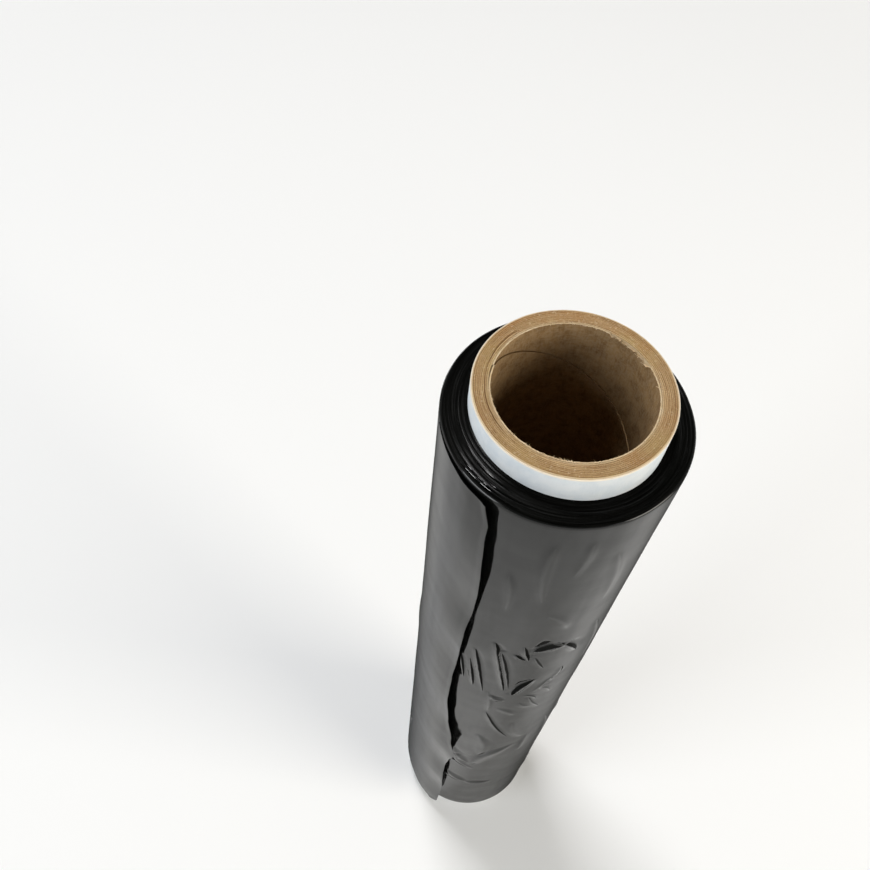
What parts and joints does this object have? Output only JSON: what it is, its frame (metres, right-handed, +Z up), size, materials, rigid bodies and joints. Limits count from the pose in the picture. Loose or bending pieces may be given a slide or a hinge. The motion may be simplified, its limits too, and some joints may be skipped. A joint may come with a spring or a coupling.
{
  "type": "stretch wrap roll",
  "caption": "Hand roll of black stretch wrap wound on a spiral-wound kraft core with a white cover ply, the core standing out past the film at both ends.",
  "frame": {"origin": "centre of the core's lower end, on the core's axis", "axes": "+Z up along the core's axis; -Y is the side that the picture looks from, and the loose tail edge is 30 degrees from it towards -X"},
  "size_m": [0.08, 0.0816, 0.424],
  "materials": {
    "kraft": "matt kraft paperboard, sawn end with ply lines",
    "white_paper": "smooth matt white paper",
    "black_film": "glossy wound film with fine creases"
  },
  "bodies": {
    "root": {"core_tube": "kraft", "cover_ply": "white_paper", "film_roll": "black_film"}
  },
  "joints": []
}
